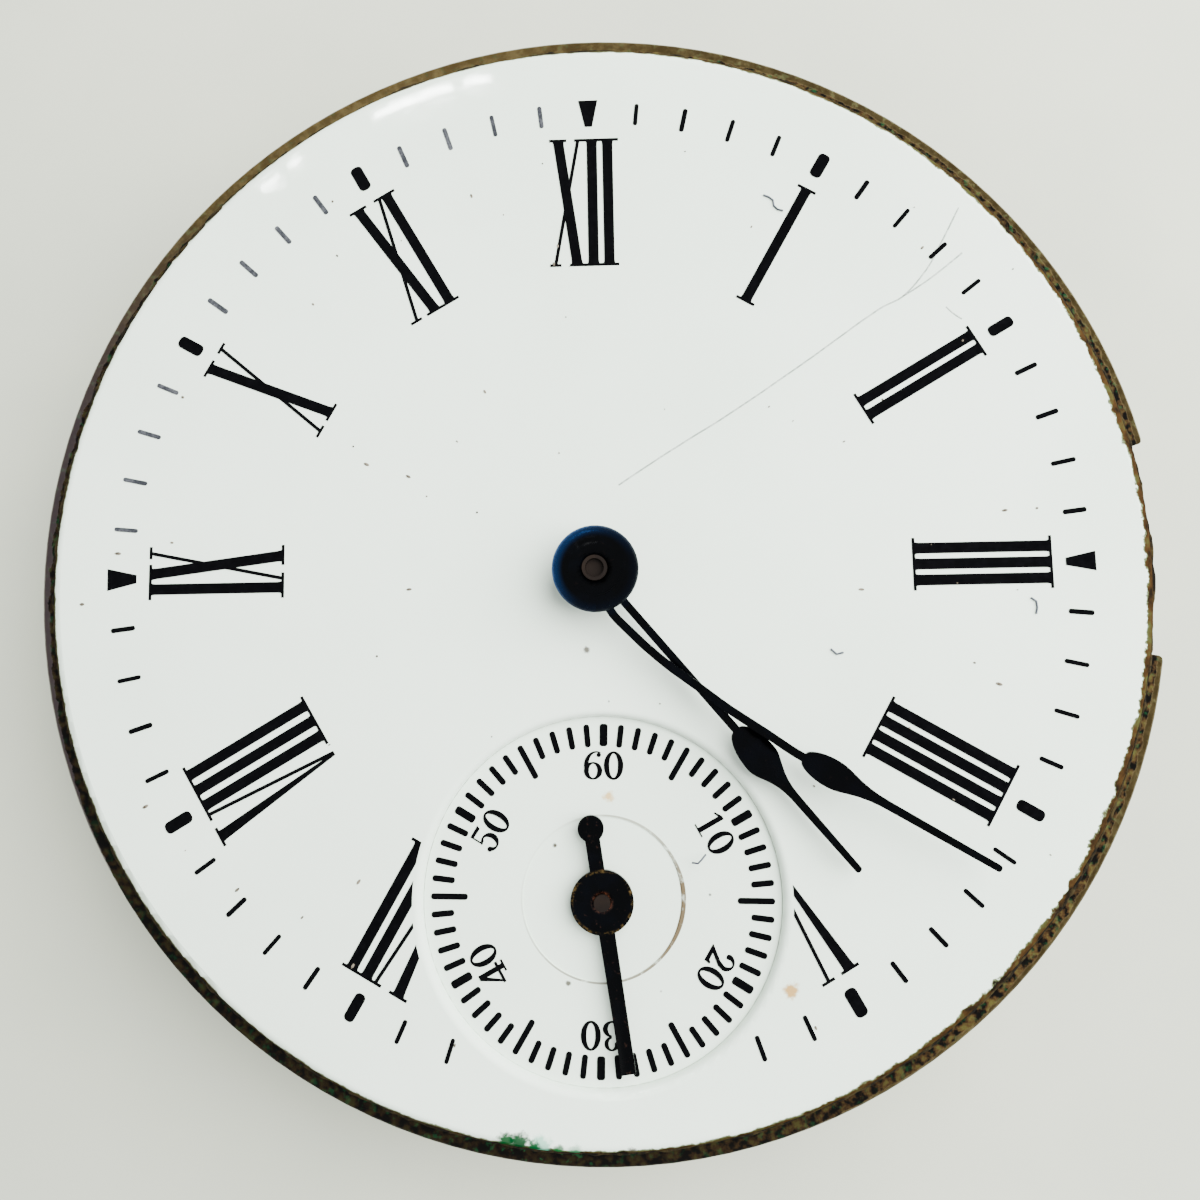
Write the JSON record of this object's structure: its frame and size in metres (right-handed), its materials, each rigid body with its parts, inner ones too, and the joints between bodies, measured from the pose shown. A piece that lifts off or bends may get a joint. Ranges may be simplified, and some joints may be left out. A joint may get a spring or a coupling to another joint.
{
  "type": "pocket watch movement",
  "caption": "Pocket watch movement with a white enamel dial, Roman numerals, sunk seconds, blued spade hands, gilt plates and a full gear train.",
  "frame": {"origin": "on the axis of the hour and minute hands, in the plane of the bridge screws' heads that the movement rests on", "axes": "+Z out through the dial, +Y to twelve o'clock, +X to three o'clock and the winding stem"},
  "size_m": [0.0432, 0.0432, 0.0106],
  "materials": {
    "gilt": "worn",
    "brass": "satin",
    "steel": "polished",
    "blued": "polished",
    "enamel": "polished",
    "counter": "satin",
    "copper": "matte",
    "ink": "matte",
    "ruby": "polished"
  },
  "bodies": {
    "root": {"pillar_plate": "gilt", "three_quarter_plate": "gilt", "balance_cock": "gilt", "pallet_cock": "gilt", "plate_screws": "steel", "case_screws": "steel", "small_screws": "steel", "dial_enamel": "enamel", "dial_copper": "copper", "counter_enamel": "counter", "seconds_dial": "enamel", "dial_foot_screws": "steel", "hour_numerals": "ink", "minute_marks": "ink", "seconds_marks": "ink", "plate_jewels": "ruby", "bridge_jewels": "ruby", "jewel_settings": "brass", "endstone_cap": "steel", "hairspring": "blued", "hairspring_stud": "steel", "click_spring": "steel", "crown_screw": "steel"},
    "centre": {"centre_wheel": "brass", "centre_pinion": "steel", "cannon_pinion": "steel", "minute_hand": "blued"},
    "third": {"third_wheel": "brass", "third_pinion": "steel"},
    "fourth": {"fourth_wheel": "brass", "fourth_pinion": "steel", "seconds_hand": "blued"},
    "escape": {"escape_wheel": "brass", "escape_pinion": "steel"},
    "barrel": {"barrel_drum": "brass", "barrel_cover": "brass", "mainspring": "steel"},
    "ratchet": {"barrel_arbor": "steel", "ratchet_wheel": "steel", "ratchet_screw": "steel"},
    "minute_works": {"minute_wheel": "brass"},
    "hour": {"hour_wheel": "brass", "hour_hand": "blued", "dial_washer": "brass"},
    "setting": {"setting_wheel": "steel"},
    "crown": {"crown_wheel": "steel"},
    "pinion": {"winding_pinion": "steel"},
    "arbor": {"winding_arbor": "steel"},
    "clutch_body": {"clutch": "steel"},
    "yoke_body": {"yoke": "steel"},
    "click_body": {"click": "steel"},
    "pallet": {"pallet_fork": "steel", "pallet_stones": "ruby", "pallet_arbor": "steel"},
    "balance": {"balance_wheel": "brass", "balance_screws": "brass", "balance_staff": "steel", "roller": "steel", "roller_jewel": "ruby"},
    "index": {"regulator": "steel"}
  },
  "joints": [
    {"name": "minute_turn", "type": "hinge", "parent": "root", "child": "centre", "pos_m": [0, 0, 0.007], "axis": [0, 0, 1], "continuous": true},
    {"name": "third_turn", "type": "hinge", "parent": "root", "child": "third", "pos_m": [0.00382, -0.00663, 0.004], "axis": [0, 0, 1], "continuous": true},
    {"name": "seconds_turn", "type": "hinge", "parent": "root", "child": "fourth", "pos_m": [0, -0.012, 0.004], "axis": [0, 0, 1], "continuous": true},
    {"name": "escape_turn", "type": "hinge", "parent": "root", "child": "escape", "pos_m": [-0.0043, -0.00759, 0.004], "axis": [0, 0, 1], "continuous": true},
    {"name": "barrel_turn", "type": "hinge", "parent": "root", "child": "barrel", "pos_m": [0.00495, 0.00857, 0.003], "axis": [0, 0, 1], "continuous": true},
    {"name": "minute_wheel_turn", "type": "hinge", "parent": "root", "child": "minute_works", "pos_m": [0.0039, -0.0012, 0.0065], "axis": [0, 0, 1], "continuous": true},
    {"name": "hour_turn", "type": "hinge", "parent": "root", "child": "hour", "pos_m": [0, 0, 0.008], "axis": [0, 0, 1], "continuous": true},
    {"name": "setting_turn", "type": "hinge", "parent": "root", "child": "setting", "pos_m": [0.00934, -0.0012, 0.0055], "axis": [0, 0, 1], "continuous": true},
    {"name": "ratchet_turn", "type": "hinge", "parent": "root", "child": "ratchet", "pos_m": [0.00495, 0.00857, 0.001], "axis": [0, 0, 1], "continuous": true},
    {"name": "crown_turn", "type": "hinge", "parent": "root", "child": "crown", "pos_m": [0.01261, 0, 0.0007], "axis": [0, 0, 1], "continuous": true},
    {"name": "winding_pinion_turn", "type": "hinge", "parent": "root", "child": "pinion", "pos_m": [0.01625, 0, 0.00345], "axis": [1, 0, 0], "continuous": true},
    {"name": "winding_arbor_turn", "type": "hinge", "parent": "root", "child": "arbor", "pos_m": [0.0135, 0, 0.00345], "axis": [1, 0, 0], "continuous": true},
    {"name": "clutch_slide", "type": "slide", "parent": "arbor", "child": "clutch_body", "axis": [1, 0, 0], "range_m": [-0.0006, 0]},
    {"name": "yoke_swing", "type": "hinge", "parent": "root", "child": "yoke_body", "pos_m": [0.01355, -0.0056, 0.00345], "axis": [0, 0, 1], "range_deg": [0, 8]},
    {"name": "click_swing", "type": "hinge", "parent": "root", "child": "click_body", "pos_m": [0.001, 0.01705, 0.0007], "axis": [0, 0, 1], "range_deg": [0, 8]},
    {"name": "pallet_swing", "type": "hinge", "parent": "root", "child": "pallet", "pos_m": [-0.00746, -0.00454, 0.0042], "axis": [0, 0, 1], "range_deg": [-5.5, 5.5]},
    {"name": "balance_swing", "type": "hinge", "parent": "root", "child": "balance", "pos_m": [-0.01132, -0.00081, 0.0022], "axis": [0, 0, 1], "range_deg": [0, 220]},
    {"name": "index_swing", "type": "hinge", "parent": "root", "child": "index", "pos_m": [-0.01132, -0.00081, 0.0003], "axis": [0, 0, 1], "range_deg": [-15, 15]}
  ],
  "couplings": [
    {"joint": "third_turn", "follows": "minute_turn", "ratio": -8},
    {"joint": "seconds_turn", "follows": "minute_turn", "ratio": 60},
    {"joint": "escape_turn", "follows": "minute_turn", "ratio": -600},
    {"joint": "barrel_turn", "follows": "minute_turn", "ratio": -0.15385},
    {"joint": "minute_wheel_turn", "follows": "minute_turn", "ratio": -0.33333},
    {"joint": "hour_turn", "follows": "minute_turn", "ratio": 0.083333},
    {"joint": "setting_turn", "follows": "minute_turn", "ratio": 0.42857},
    {"joint": "crown_turn", "follows": "ratchet_turn", "ratio": -1.5556},
    {"joint": "winding_pinion_turn", "follows": "ratchet_turn", "ratio": -2.5926},
    {"joint": "winding_arbor_turn", "follows": "ratchet_turn", "ratio": -2.5926},
    {"joint": "yoke_swing", "follows": "clutch_slide", "rad_per_m": -229}
  ]
}
